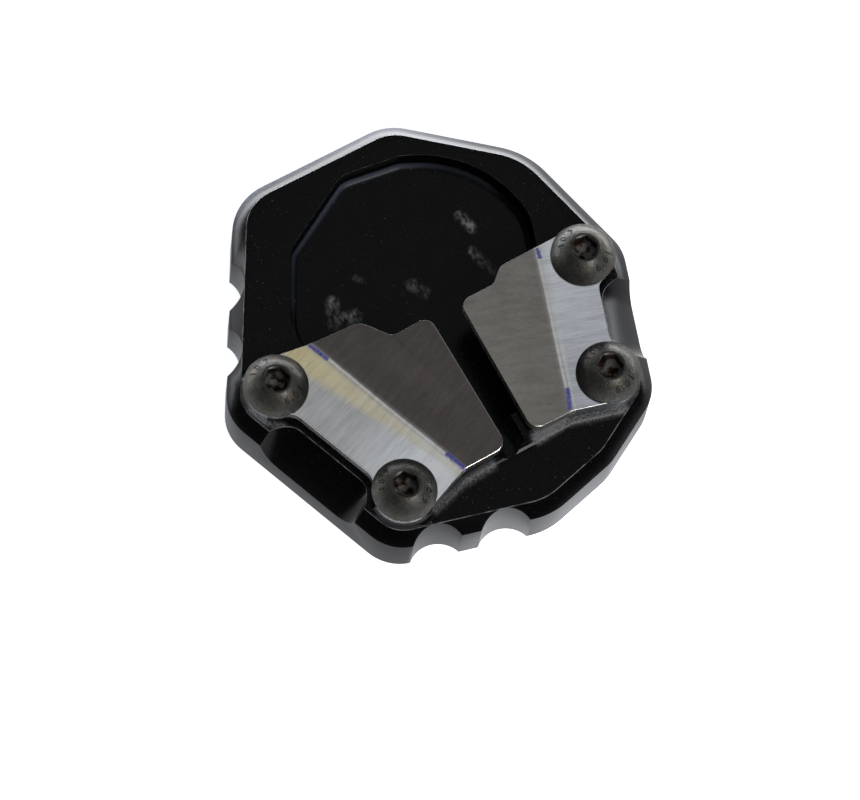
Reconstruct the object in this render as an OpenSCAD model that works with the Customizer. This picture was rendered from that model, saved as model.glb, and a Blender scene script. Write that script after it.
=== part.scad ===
// Kickstand foot enlarger: a chamfered base, two bent clamp plates and four button head screws.
// X runs to the right, Y runs along the slot away from the near end and Z points up.
// The origin lies on the slot axis, in the plane of the underside. All sizes are in millimetres.

/* [Base] */
// Height of the straight side wall, up to the foot of the chamfer
wall_height = 10.6; // [9:0.1:12]
// Width and height of the 45 degree chamfer
edge_chamfer = 3; // [2:0.1:3.4]
// Material from a screw axis out to the side wall
screw_margin = 10.1; // [9.8:0.1:11]
// Distance of the straight far edge from the origin
far_edge_y = 47.3; // [46:0.1:49]
// Height of the raised pads below the plates
pad_height = 2; // [1.5:0.1:2.5]
// Radius of the grip scallops in the side wall
scallop_r = 6.4; // [5.5:0.1:7]
// Distance between neighbouring grip scallops
scallop_pitch = 15; // [14:0.1:16]
// Depth of the grip scallops
scallop_depth = 2.9; // [2:0.1:3.4]
// Radius at both ends of the sloping side recesses
recess_r = 5.5; // [4.5:0.1:6]

/* [Foot pocket] */
// Height of the pocket floor above the underside
pocket_floor = 8.7; // [7.5:0.1:10]
// Fillet between pocket floor and pocket wall
pocket_fillet = 2; // [1:0.1:2.8]
// Y of the near wall of the pocket
pocket_near_y = -25; // [-26:0.1:-23]
// Radius of the channel through the near ridge
channel_r = 5; // [4:0.1:6]

/* [Plates] */
// Thickness of both clamp plates
plate_t = 2.5; // [2:0.1:3]
// Radius of the plate lobes round the screws
lobe_r = 6.5; // [6:0.1:6.9]
// How far the waist of the plates lies outside the screw line
waist = 1.9; // [1:0.1:2.5]
// Upward bend of both tongues in degrees
bend_angle = 7.5; // [4:0.5:10]
// Inner radius of the soft bend in the left plate
left_bend_r = 22; // [10:1:26]
// Inner radius of the tight bend in the right plate
right_bend_r = 3; // [2:0.5:8]
// Distance from the left screw line inward to the bend
left_bend_reach = 11.9; // [11.4:0.1:12.4]
// Distance from the right screw line inward to the bend
right_bend_reach = 9.5; // [9:0.1:10]
// Width of the slot between the tongues at the far end
slot_far_w = 7.35; // [6.8:0.05:8]
// Width of the slot between the tongues at the near end
slot_near_w = 6.45; // [5.8:0.05:7]

/* [Screws] */
// Distance between the two left screws
left_pitch = 35.5; // [34.5:0.1:36.5]
// Distance between the two right screws
right_pitch = 27.4; // [26.4:0.1:28.4]
// Diameter of the screw shank
shank_d = 8; // [7:0.5:8]
// Diameter of the button head
head_d = 14; // [13:0.1:14.2]
// Height of the button head
head_h = 4.4; // [3.8:0.1:5]
// Width across the flats of the hexagon socket
socket_w = 5; // [4:0.5:5.5]
// Length of the screw below its head
screw_len = 12; // [10:0.5:13]

/* [Hidden] */
$fn = 96;

// Clearances
thread_gap = 0.25;
plate_hole_gap = 0.5;
tip_gap = 0.8;
over = 1;

// Fineness of the lofted rounds
arc_step = 5;
bend_step = 1.5;
fillet_steps = 5;

// Heights
top_z = wall_height + edge_chamfer;
pad_z = top_z + pad_height;
plate_z = pad_z + plate_t;
tip_z = plate_z - screw_len;

// Corners of both plates from the near end of the bend round the tongue to its far end,
// as x, y and radius; the right plate is written as its mirror image
slot_r = 2.6;
left_corners = [
    [-13.6, -31.6, 0],
    [-slot_near_w / 2, -31.7, slot_r],
    [-slot_far_w / 2, 1.35, slot_r],
    [-12.5, 1.35, 2.5],
    [-17.1, 7.55, 4],
    [-28.8, 8.55, 0]
];
right_corners = [
    [-13.2, -31.1, 0],
    [-slot_near_w / 2, -31.3, slot_r],
    [-slot_far_w / 2, 1.1, slot_r],
    [-12.4, 1.5, 2],
    [-15.8, 4.5, 3],
    [-24.7, 5, 0]
];

// Each side: far screw, lean of the screw line, screw pitch, reach to the bend,
// bend radius, corners
left_side = [[-39.6, 3.5], 20.4, left_pitch, left_bend_reach, left_bend_r, left_corners];
right_side = [[-33, -1.4], 18.8, right_pitch, right_bend_reach, right_bend_r, right_corners];
waist_r = 4;

function far_of(side) = side[0];
function lean_of(side) = side[1];
function corners_of(side) = side[5];
function bend_near_of(side) = flat(side[5][0]);
function bend_far_of(side) = flat(side[5][len(side[5]) - 1]);
function along_of(side) = [sin(lean_of(side)), -cos(lean_of(side))];
function out_of(side) = [-cos(lean_of(side)), -sin(lean_of(side))];
function near_of(side) = far_of(side) + side[2] * along_of(side);
function flat(p) = [p[0], p[1]];
function flip(p) = [-p[0], p[1]];

left_screws = [far_of(left_side), near_of(left_side)];
right_screws = [flip(far_of(right_side)), flip(near_of(right_side))];

// Outline rounds of the base as x, y and radius, anticlockwise from the far left screw
base_rounds = [
    [left_screws[0][0], left_screws[0][1], screw_margin],
    [left_screws[1][0], left_screws[1][1], screw_margin],
    [-0.4, -30.8, 16],
    [12.2, -31.8, 12],
    [right_screws[1][0], right_screws[1][1], screw_margin],
    [right_screws[0][0], right_screws[0][1], screw_margin],
    [20.3, 17.4, 18],
    [8.3, far_edge_y - 12, 12],
    [-18.1, far_edge_y - 12.5, 12.5]
];

// Outline rounds of the foot pocket as x, y and radius, anticlockwise from the near left corner
corner_r = 5;
pocket_rounds = [
    [-12.8, pocket_near_y + corner_r, corner_r],
    [11.6, pocket_near_y + corner_r, corner_r],
    [14.8, 15.1, 14],
    [2.75, 13.85, 26],
    [9.7, 34.8, 4],
    [-1.3, 34.4, 6],
    [-17.4, 27.9, 4],
    [-16.2, 12, 13]
];

// Grip scallops, measured along their edge from the foot of the next screw
near_scallop = 5.2;
left_scallop = 10;

// Sloping side recesses, measured from each screw and from the waist
recess_start = 9.6;
recess_len = 30;
recess_ledge = 0.8;

// Channel through the near ridge
channel_x = -2.2;
channel_sill = 0.1;

// Pads and the fillets at their foot
pad_inset = 0.4;
pad_strip = 3;
fillet_lift = 0.3;
fillet_dip = 0.06;
land_ledge = 0.1;
ring_reach = 25;
far_ring_turn = 90;
run_out_turn = 5;
run_out_width = 0.15;
run_out_height = 0.6;

// Screw details
rim_h = 0.7;
crown_d = 7;
dome_r = 9;
socket_depth = 2.9;
socket_rim = 0.5;
tip_chamfer = 0.8;

// Angle of the outward normal of the tangent from one round to the next
function normal_of(a, b) =
    atan2(b[1] - a[1], b[0] - a[0]) - acos((a[2] - b[2]) / norm([b[0] - a[0], b[1] - a[1]]));

function on_round(c, angle, inset) =
    [c[0] + (c[2] - inset) * cos(angle), c[1] + (c[2] - inset) * sin(angle)];

// Points of the outline at an inset and a height, with every round in small even steps
function ring(rounds, inset, z) = [
    for (i = [0:len(rounds) - 1])
        let (
            n = len(rounds),
            start = normal_of(rounds[(i + n - 1) % n], rounds[i]),
            turn = (normal_of(rounds[i], rounds[(i + 1) % n]) - start + 720) % 360,
            steps = max(1, ceil(turn / arc_step))
        )
            for (k = [0:steps])
                let (p = on_round(rounds[i], start + turn * k / steps, inset)) [p[0], p[1], z]
];

// Points of an arc from one angle to another
function arc(centre, r, from, to, step = arc_step) =
    let (steps = max(1, ceil(abs(to - from) / step)))
        [
            for (k = [0:steps])
                let (a = from + (to - from) * k / steps) centre + r * [cos(a), sin(a)]
        ];

function toward(a, b) = (flat(b) - flat(a)) / norm(flat(b) - flat(a));

// Points of one corner of an outline, rounded by its own radius
function corner_arc(before, at, after) =
    at[2] == 0 ? [flat(at)] :
        let (
            u = toward(at, before),
            v = toward(at, after),
            half = acos(u * v) / 2,
            centre = flat(at) + (u + v) / norm(u + v) * at[2] / sin(half),
            start = flat(at) + u * at[2] / tan(half) - centre,
            from = atan2(start[1], start[0]),
            turn = cross(v, u) > 0 ? 180 - 2 * half : 2 * half - 180
        )
            arc(centre, at[2], from, from + turn);

// Angles on the lobes where the straight near and far edges of a flange leave them
function leave_angle(side, r, foot) =
    let (d = foot - near_of(side)) 360 + atan2(d[1], d[0]) - acos(r / norm(d));

function start_angle(side, r) =
    let (d = bend_far_of(side) - far_of(side)) atan2(d[1], d[0]) + acos(r / norm(d));

// Lobes and waist of a flange, from the far edge round to the near edge
function flange_points(side, inset, foot) =
    let (
        r = lobe_r - inset,
        hollow = waist_r + inset,
        lean = lean_of(side),
        reach = sqrt(pow(lobe_r + waist_r, 2) - pow(waist + waist_r, 2)),
        turn = atan2(reach, waist + waist_r),
        first = far_of(side) + reach * along_of(side) + (waist + waist_r) * out_of(side),
        second = near_of(side) - reach * along_of(side) + (waist + waist_r) * out_of(side)
    )
        concat(
            arc(far_of(side), r, start_angle(side, r), 180 + lean + turn),
            arc(first, hollow, lean + turn, lean),
            arc(second, hollow, lean, lean - turn),
            arc(near_of(side), r, 180 + lean - turn, leave_angle(side, r, foot))
        );

// Whole outline of a plate
function plate_points(side) =
    let (corners = corners_of(side), last = len(corners) - 1)
        concat(
            flange_points(side, 0, bend_near_of(side)),
            [flat(corners[0])],
            [for (i = [1:last - 1]) each corner_arc(corners[i - 1], corners[i], corners[i + 1])],
            [flat(corners[last])]
        );

function reversed(list) = [for (i = [len(list) - 1:-1:0]) list[i]];

// Solid through rings of one outline, each level given as inset and height, lowest first
module loft(rounds, levels) {
    n = len(ring(rounds, 0, 0));
    top = len(levels) - 1;
    polyhedron(
        points = [for (level = levels) each ring(rounds, level[0], level[1])],
        faces = concat(
            [[for (i = [0:n - 1]) i]],
            [[for (i = [0:n - 1]) top * n + n - 1 - i]],
            [
                for (k = [0:top - 1])
                    for (i = [0:n - 1])
                        let (j = (i + 1) % n)
                            [k * n + i, (k + 1) * n + i, (k + 1) * n + j, k * n + j]
            ]
        )
    );
}

// Width left for a fillet round a screw, kept inside the upper edge of the chamfer
function room(index, way) =
    let (
        n = len(base_rounds),
        low = normal_of(base_rounds[(index + n - 1) % n], base_rounds[index]),
        high = normal_of(base_rounds[index], base_rounds[(index + 1) % n]),
        angle = atan2(way[1], way[0]),
        past = max(0, (low - angle + 900) % 360 - 180, (angle - high + 900) % 360 - 180),
        edge = screw_margin - edge_chamfer - land_ledge
    )
        past > 60 ? pad_height : min(pad_height, edge / cos(past) - lobe_r);

// Section of a fillet as distance from the pad wall and height above the land
function fillet_profile(width) =
    let (
        rise = pad_height + fillet_lift,
        r = norm([rise, fillet_lift]),
        first = 360 - acos((width - rise) / r),
        last = 180 + asin(fillet_lift / r)
    )
        concat(
            [[-over, -over], [width, -over]],
            [
                for (k = [0:fillet_steps])
                    let (a = first + (last - first) * k / fillet_steps)
                        [rise + r * cos(a), rise + r * sin(a)]
            ],
            [[-over, pad_height - fillet_dip]]
        );

// Fillet along the foot of a pad wall, through stations of point, outward direction, width
// and the shares of width and height that are kept
module fillet_sweep(stations) {
    m = len(fillet_profile(pad_height));
    last = len(stations) - 1;
    polyhedron(
        points = [
            for (s = stations)
                for (p = fillet_profile(s[2]))
                    let (d = (p[0] + over) * s[3][0] - over, h = (p[1] + over) * s[3][1] - over)
                        [s[0][0] + d * s[1][0], s[0][1] + d * s[1][1], top_z + h]
        ],
        faces = concat(
            [[for (j = [0:m - 1]) m - 1 - j]],
            [[for (j = [0:m - 1]) last * m + j]],
            [
                for (i = [0:last - 1])
                    for (j = [0:m - 1])
                        let (k = (j + 1) % m)
                            [i * m + j, i * m + k, (i + 1) * m + k, (i + 1) * m + j]
            ]
        )
    );
}

// Stations on a lobe round a screw of the base outline, looking outward
function lobe_stations(index, from, to) =
    let (centre = flat(base_rounds[index]))
        [
            for (p = arc(centre, lobe_r, from, to))
                let (way = (p - centre) / lobe_r) [p, way, room(index, way), [1, 1]]
        ];

// Station where a fillet has run out into the pad
function run_out(index, angle) =
    let (way = [cos(angle), sin(angle)])
        [
            flat(base_rounds[index]) + lobe_r * way,
            way,
            pad_height,
            [run_out_width, run_out_height]
        ];

// Station at a corner between walls with two outward directions
function corner_station(p, n1, n2) = [p, (n1 + n2) / (1 + n1 * n2), pad_height, [1, 1]];

// Fillet round the near lobes and along the ridge between them
module near_fillet() {
    left_end = leave_angle(left_side, lobe_r, bend_near_of(left_side));
    right_end = 540 - leave_angle(right_side, lobe_r, bend_near_of(right_side));
    left_foot = bend_near_of(left_side);
    right_foot = flip(bend_near_of(right_side));
    way = toward(left_foot, right_foot);
    front_n = [way[1], -way[0]];
    left_start = 180 + lean_of(left_side) - ring_reach;
    right_stop = 360 - lean_of(right_side) + ring_reach;
    fillet_sweep(concat(
        [run_out(1, left_start - run_out_turn)],
        lobe_stations(1, left_start, left_end),
        [corner_station(left_foot, [cos(left_end), sin(left_end)], front_n)],
        [corner_station(right_foot, front_n, [cos(right_end), sin(right_end)])],
        lobe_stations(4, right_end, right_stop),
        [run_out(4, right_stop + run_out_turn)]
    ));
}

// Fillet round a far lobe
module far_fillet(index, from, to) {
    fillet_sweep(concat(
        [run_out(index, from - run_out_turn)],
        lobe_stations(index, from, to),
        [run_out(index, to + run_out_turn)]
    ));
}

// Fillets at the foot of the pads
module pad_fillets() {
    left_out = 180 + lean_of(left_side);
    right_out = 360 - lean_of(right_side);
    near_fillet();
    far_fillet(0, left_out - far_ring_turn, left_out + ring_reach);
    far_fillet(5, right_out - ring_reach, right_out + far_ring_turn);
}

// Raised pads below the plates with the ridge between them
module pads() {
    left_foot = bend_near_of(left_side) + [0, pad_inset];
    right_foot = bend_near_of(right_side) + [0, pad_inset];
    left_inner = bend_far_of(left_side) - pad_strip * out_of(left_side);
    right_inner = bend_far_of(right_side) - pad_strip * out_of(right_side);
    inner_y = pocket_near_y + corner_r;
    left_bend = bend_near_of(left_side) + [pad_strip, 0];
    right_bend = bend_near_of(right_side) + [pad_strip, 0];
    translate([0, 0, top_z - 2 * over])
        linear_extrude(pad_height + 2 * over)
            polygon(concat(
                flange_points(left_side, pad_inset, left_foot),
                [left_foot, flip(right_foot)],
                [for (p = reversed(flange_points(right_side, pad_inset, right_foot))) flip(p)],
                [flip(bend_far_of(right_side)), flip(right_inner)],
                [[-right_bend[0], inner_y], [left_bend[0], inner_y]],
                [left_inner, bend_far_of(left_side)]
            ));
}

// Recess with a 45 degree floor that falls outward beside the waist of a pad
module side_recess(side) {
    start = far_of(side) + (waist + recess_ledge) * out_of(side);
    low = recess_start;
    high = side[2] - recess_start;
    profile = concat(
        [[low - recess_r, recess_len]],
        arc([low, recess_r], recess_r, 180, 270),
        arc([high, recess_r], recess_r, 270, 360),
        [[high + recess_r, recess_len]]
    );
    translate([start[0], start[1], top_z])
        rotate([0, 0, 180 + lean_of(side)])
            rotate([0, 45, 0])
                translate([-over, 0, 0])
                    rotate([90, 0, 90])
                        linear_extrude(recess_len)
                            polygon(profile);
}

// Chamfered solid of the base
module body() {
    loft(base_rounds, [[0, 0], [0, wall_height], [edge_chamfer, top_z]]);
}

// Cutter of the foot pocket with its rounded floor edge
module pocket() {
    bowl = [
        for (k = [0:fillet_steps])
            let (a = 90 * k / fillet_steps)
                [
                    pocket_fillet * (1 - sin(a)),
                    pocket_floor + pocket_fillet * (1 - cos(a))
                ]
    ];
    loft(pocket_rounds, concat(bowl, [[0, pad_z + over]]));
}

// Grip scallop on the edge after a round, at a distance from the foot of its screw
module scallop(index, place, along) {
    angle = normal_of(base_rounds[index], base_rounds[(index + 1) % len(base_rounds)]);
    out = [cos(angle), sin(angle)];
    way = [-sin(angle), cos(angle)];
    centre = place + (screw_margin + scallop_r - scallop_depth) * out + along * way;
    translate([centre[0], centre[1], -over])
        cylinder(r = scallop_r, h = top_z + 2 * over);
}

module base() {
    color("#26272a")
        difference() {
            union() {
                body();
                pads();
                pad_fillets();
            }
            side_recess(left_side);
            mirror([1, 0, 0])
                side_recess(right_side);
            pocket();
            for (k = [0, 1]) {
                scallop(1, left_screws[1], near_scallop + k * scallop_pitch);
                scallop(8, left_screws[0], -left_scallop - k * scallop_pitch);
            }
            translate([channel_x, pocket_near_y + 2 * corner_r, top_z + channel_sill + channel_r])
                rotate([90, 0, 0])
                    cylinder(r = channel_r, h = 4 * corner_r);
            for (p = concat(left_screws, right_screws))
                translate([p[0], p[1], tip_z - tip_gap])
                    cylinder(d = shank_d + 2 * thread_gap, h = screw_len + tip_gap);
        }
}

// Side view of a plate, with the bend line at x = 0 and the tongue rising along x
function sheet_profile(bend_r) =
    let (
        flat_len = 60,
        tongue_len = 40,
        middle = [0, plate_t + bend_r],
        way = [cos(bend_angle), sin(bend_angle)],
        lower = arc(middle, bend_r + plate_t, -90, bend_angle - 90, bend_step),
        upper = arc(middle, bend_r, -90, bend_angle - 90, bend_step),
        end = len(lower) - 1
    )
        concat(
            [[-flat_len, 0]],
            lower,
            [lower[end] + tongue_len * way, upper[end] + tongue_len * way],
            reversed(upper),
            [[-flat_len, plate_t]]
        );

module clamp_plate(side) {
    sheet_len = 120;
    bend_at = far_of(side) - side[3] * out_of(side);
    difference() {
        intersection() {
            translate([0, 0, pad_z - over])
                linear_extrude(sheet_len)
                    polygon(plate_points(side));
            translate([bend_at[0], bend_at[1], pad_z])
                rotate([0, 0, lean_of(side)])
                    rotate([90, 0, 0])
                        translate([0, 0, -sheet_len / 2])
                            linear_extrude(sheet_len)
                                polygon(sheet_profile(side[4]));
        }
        for (p = [far_of(side), near_of(side)])
            translate([p[0], p[1], pad_z - over])
                cylinder(d = shank_d + 2 * plate_hole_gap, h = plate_t + 2 * over);
    }
}

module left_clamp_plate() {
    color("#b9b6ae")
        clamp_plate(left_side);
}

module right_clamp_plate() {
    color("#b9b6ae")
        mirror([1, 0, 0])
            clamp_plate(right_side);
}

// One button head screw, head seat at height zero
module button_screw() {
    difference() {
        rotate_extrude()
            difference() {
                union() {
                    square([head_d / 2, head_h]);
                    translate([0, tip_chamfer - screw_len])
                        square([shank_d / 2, screw_len]);
                    polygon([
                        [0, -screw_len],
                        [shank_d / 2 - tip_chamfer, -screw_len],
                        [shank_d / 2, tip_chamfer - screw_len],
                        [0, tip_chamfer - screw_len]
                    ]);
                }
                dome_waste();
            }
        translate([0, 0, head_h - socket_depth])
            cylinder(d = socket_w / cos(30), h = head_h, $fn = 6);
        translate([0, 0, head_h - socket_rim])
            cylinder(r1 = socket_w / 2, r2 = socket_w / 2 + socket_rim + over, h = socket_rim + over);
    }
}

// Region above the dome, between the rim and the flat crown
module dome_waste() {
    rise = head_h - rim_h;
    run = (head_d - crown_d) / 2;
    chord = norm([rise, run]);
    middle = [(head_d + crown_d) / 4, rim_h + rise / 2];
    centre = middle - sqrt(pow(dome_r, 2) - pow(chord / 2, 2)) * [rise, run] / chord;
    difference() {
        translate([crown_d / 2, rim_h])
            square([run + over, rise + over]);
        translate(centre)
            circle(dome_r, $fn = 180);
    }
}

module clamp_screws() {
    color("#55534d")
        for (p = concat(left_screws, right_screws))
            translate([p[0], p[1], plate_z])
                button_screw();
}

base();
left_clamp_plate();
right_clamp_plate();
clamp_screws();
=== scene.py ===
"""Looks of a kickstand foot enlarger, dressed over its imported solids.

The base is black anodised, the two clamp plates are brushed sheet and the four
button head screws are dark oxide. Lengths are in millimetres until a mesh or a
light is made from them.
"""

import logging
import math
from abc import ABC, abstractmethod
from dataclasses import dataclass
from enum import Enum
from typing import Any, Dict, List, Sequence, Tuple

import bpy
from mathutils import Matrix, Vector


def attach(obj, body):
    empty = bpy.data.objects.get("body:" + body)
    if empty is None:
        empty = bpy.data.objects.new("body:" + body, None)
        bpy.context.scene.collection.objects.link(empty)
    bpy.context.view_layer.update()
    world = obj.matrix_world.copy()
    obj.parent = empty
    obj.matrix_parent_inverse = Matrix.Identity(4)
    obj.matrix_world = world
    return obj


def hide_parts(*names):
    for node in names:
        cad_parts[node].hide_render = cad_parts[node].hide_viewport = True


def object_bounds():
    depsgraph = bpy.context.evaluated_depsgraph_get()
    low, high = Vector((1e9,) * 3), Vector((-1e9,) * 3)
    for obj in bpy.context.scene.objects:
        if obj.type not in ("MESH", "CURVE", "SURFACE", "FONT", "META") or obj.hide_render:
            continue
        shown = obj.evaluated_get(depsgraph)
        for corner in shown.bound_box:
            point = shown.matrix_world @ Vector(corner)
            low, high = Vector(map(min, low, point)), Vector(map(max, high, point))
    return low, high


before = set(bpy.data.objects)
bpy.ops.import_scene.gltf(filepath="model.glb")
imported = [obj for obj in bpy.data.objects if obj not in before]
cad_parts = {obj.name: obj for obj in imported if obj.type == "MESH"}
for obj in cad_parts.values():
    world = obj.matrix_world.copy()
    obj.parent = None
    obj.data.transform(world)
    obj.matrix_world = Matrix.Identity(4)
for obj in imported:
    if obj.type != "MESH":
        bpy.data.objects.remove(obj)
CAD_BOX = [list(corner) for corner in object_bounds()]

LOG = logging.getLogger("foot_enlarger")
MM = 0.001
WELD = 0.002
SMOOTH_WITHIN = 24.0
Colour = Tuple[float, float, float]
Point = Tuple[float, float]
Stroke = Tuple[Point, Point]


class Side(Enum):
    """The two clamp plates, as the photograph shows them."""

    LEFT = "left"
    RIGHT = "right"


@dataclass(frozen=True)
class Mark:
    """A stroke seen from above, with its width in millimetres and its strength."""

    ends: Stroke
    width: float
    strength: float


@dataclass(frozen=True)
class Grain:
    """A noise pattern with grains of a size in millimetres.

    A stretch below 1 draws the grains out along that axis, after a turn about Z in
    degrees.
    """

    size: float
    detail: float = 2.0
    stretch: Tuple[float, float, float] = (1.0, 1.0, 1.0)
    turn: float = 0.0


class Level:
    """A number in a material, with arithmetic that adds Math nodes."""

    def __init__(self, paint: "Paint", socket: bpy.types.NodeSocket) -> None:
        """Keeps the material's tree and the socket that carries the number."""
        self.paint = paint
        self.socket = socket

    def maths(self, operation: str, *values: Any, clamp: bool = False) -> "Level":
        """Adds one Math node.

        Args:
            operation: Name of the Math operation.
            values: Inputs in order, each a number or a Level.
            clamp: Whether the result is kept between 0 and 1.

        Returns:
            The node's result.
        """
        settings = {"operation": operation, "use_clamp": clamp}
        node = self.paint.node("ShaderNodeMath", settings, dict(enumerate(values)))
        return Level(self.paint, node.outputs[0])

    def __add__(self, other: Any) -> "Level":
        """Adds a number or a Level."""
        return self.maths("ADD", self, other)

    def __radd__(self, other: Any) -> "Level":
        """Adds this to a number."""
        return self.maths("ADD", other, self)

    def __sub__(self, other: Any) -> "Level":
        """Takes a number or a Level away."""
        return self.maths("SUBTRACT", self, other)

    def __rsub__(self, other: Any) -> "Level":
        """Takes this away from a number."""
        return self.maths("SUBTRACT", other, self)

    def __mul__(self, other: Any) -> "Level":
        """Multiplies by a number or a Level."""
        return self.maths("MULTIPLY", self, other)

    def __rmul__(self, other: Any) -> "Level":
        """Multiplies a number by this."""
        return self.maths("MULTIPLY", other, self)

    def __truediv__(self, other: Any) -> "Level":
        """Divides by a number or a Level."""
        return self.maths("DIVIDE", self, other)

    def __rtruediv__(self, other: Any) -> "Level":
        """Divides a number by this."""
        return self.maths("DIVIDE", other, self)

    def clamped(self) -> "Level":
        """Keeps the number between 0 and 1."""
        return self.maths("ADD", self, 0.0, clamp=True)

    def root(self) -> "Level":
        """Square root."""
        return self.maths("SQRT", self)

    def least(self, other: Any) -> "Level":
        """The smaller of this and another."""
        return self.maths("MINIMUM", self, other)

    def most(self, other: Any) -> "Level":
        """The larger of this and another."""
        return self.maths("MAXIMUM", self, other)

    def above(self, edge: float, blur: float) -> "Level":
        """Goes from 0 to 1 where the number passes an edge.

        Args:
            edge: Value in the middle of the change.
            blur: Width of the change.

        Returns:
            A mask from 0 to 1.
        """
        return ((self - (edge - blur / 2)) / blur).clamped()

    def below(self, edge: float, blur: float) -> "Level":
        """Goes from 1 to 0 where the number passes an edge.

        Args:
            edge: Value in the middle of the change.
            blur: Width of the change.

        Returns:
            A mask from 0 to 1.
        """
        return 1 - self.above(edge, blur)

    def near(self, middle: float, half: float, blur: float) -> "Level":
        """Is 1 within a distance of a middle value.

        Args:
            middle: Middle of the band.
            half: Half the width of the band.
            blur: Width of its soft edges.

        Returns:
            A mask from 0 to 1.
        """
        return self.maths("ABSOLUTE", self - middle).below(half, blur)


class Paint:
    """The node tree of one material, read in object coordinates."""

    def __init__(self, name: str) -> None:
        """Makes an empty material with a Principled shader.

        Args:
            name: Name of the material.
        """
        self.material = bpy.data.materials.new(name)
        self.material.use_nodes = True
        self.tree = self.material.node_tree
        self.tree.nodes.clear()
        self.shader = self.node("ShaderNodeBsdfPrincipled", {}, {})
        links = {"Surface": self.shader.outputs[0]}
        self.node("ShaderNodeOutputMaterial", {}, links)
        self.place = self.node("ShaderNodeTexCoord", {}, {}).outputs["Object"]
        split = self.node("ShaderNodeSeparateXYZ", {}, {0: self.place})
        self.x, self.y, self.z = (
            Level(self, split.outputs[k]) * (1 / MM) for k in range(3)
        )
        turned = self.node("ShaderNodeNewGeometry", {}, {}).outputs["Normal"]
        facing = self.node("ShaderNodeSeparateXYZ", {}, {0: turned})
        self.up = Level(self, facing.outputs[2])

    def node(self, kind: str, settings: Dict[str, Any], values: Dict[Any, Any]) -> Any:
        """Adds one node.

        Args:
            kind: Type of the node.
            settings: Its own settings, set first.
            values: Values or links of its sockets, by name or number.

        Returns:
            The node.
        """
        made = self.tree.nodes.new(kind)
        for key, value in settings.items():
            setattr(made, key, value)
        for key, value in values.items():
            self.feed(made.inputs[key], value)
        return made

    def feed(self, socket: bpy.types.NodeSocket, value: Any) -> None:
        """Sets a socket to a number or colour, or links it.

        Args:
            socket: The input.
            value: A number, a colour, a Level or another socket.
        """
        if isinstance(value, Level):
            self.tree.links.new(value.socket, socket)
        elif isinstance(value, bpy.types.NodeSocket):
            self.tree.links.new(value, socket)
        elif socket.type == "RGBA" and len(value) == 3:
            socket.default_value = (*value, 1.0)
        else:
            socket.default_value = value

    def set_shader(self, **values: Any) -> None:
        """Feeds the Principled shader, with its socket names written with underscores."""
        for key, value in values.items():
            self.feed(self.shader.inputs[key.replace("_", " ")], value)

    def noise(self, grain: Grain) -> Level:
        """Adds a noise pattern.

        Args:
            grain: The pattern.

        Returns:
            The noise, from 0 to 1 around 0.5.
        """
        turned = self.node(
            "ShaderNodeMapping",
            {"vector_type": "POINT"},
            {"Vector": self.place, "Rotation": (0.0, 0.0, math.radians(grain.turn))},
        )
        drawn = self.node(
            "ShaderNodeVectorMath",
            {"operation": "MULTIPLY"},
            {0: turned.outputs[0], 1: grain.stretch},
        )
        scale = 1 / (grain.size * MM)
        values = {"Vector": drawn.outputs[0], "Scale": scale, "Detail": grain.detail}
        return Level(self, self.node("ShaderNodeTexNoise", {}, values).outputs["Fac"])

    def mix(self, mask: Any, under: Any, over: Any) -> bpy.types.NodeSocket:
        """Lays one colour over another.

        Args:
            mask: Share of the upper colour.
            under: Lower colour.
            over: Upper colour.

        Returns:
            The mixed colour.
        """
        made = self.node("ShaderNodeMix", {"data_type": "RGBA"}, {0: mask})
        self.feed(made.inputs[6], under)
        self.feed(made.inputs[7], over)
        return made.outputs[2]

    def tone(self, colour: Any, factor: Level) -> bpy.types.NodeSocket:
        """Multiplies a colour by a number that varies over the surface.

        Args:
            colour: The colour.
            factor: The number.

        Returns:
            The lighter or darker colour.
        """
        grey = self.node("ShaderNodeCombineXYZ", {}, {0: factor, 1: factor, 2: factor})
        settings = {"data_type": "RGBA", "blend_type": "MULTIPLY"}
        made = self.node("ShaderNodeMix", settings, {0: 1.0})
        self.feed(made.inputs[6], colour)
        self.feed(made.inputs[7], grey.outputs[0])
        return made.outputs[2]

    def bump(self, height: Level, depth: float) -> bpy.types.NodeSocket:
        """Turns a height pattern into a normal.

        Args:
            height: Pattern from 0 to 1.
            depth: Height of the pattern in millimetres.

        Returns:
            The normal.
        """
        values = {"Strength": 1.0, "Distance": depth * MM, "Height": height}
        return self.node("ShaderNodeBump", {}, values).outputs[0]

    def stroke(self, ends: Stroke) -> Level:
        """Distance in millimetres from a straight stroke, seen from above.

        Args:
            ends: Both ends of the stroke.

        Returns:
            The distance.
        """
        (ax, ay), (bx, by) = ends
        dx, dy = bx - ax, by - ay
        px, py = self.x - ax, self.y - ay
        along = ((px * dx + py * dy) / (dx * dx + dy * dy)).clamped()
        qx, qy = px - along * dx, py - along * dy
        return (qx * qx + qy * qy).root()

    def radius(self, centre: Point) -> Level:
        """Distance in millimetres from an upright axis."""
        px, py = self.x - centre[0], self.y - centre[1]
        return (px * px + py * py).root()

    def strongest(self, spots: Sequence[Level]) -> Level:
        """Keeps the strongest of several masks at each place.

        Args:
            spots: The masks.

        Returns:
            One mask.
        """
        total = spots[0]
        for spot in spots[1:]:
            total = total.most(spot)
        return total


class Finish(ABC):
    """A finish with one material for a body and one for its narrow edges."""

    @abstractmethod
    def make(self, rubbed: bool) -> bpy.types.Material:
        """Builds the material of the body, or of the edges where it is rubbed."""


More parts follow.
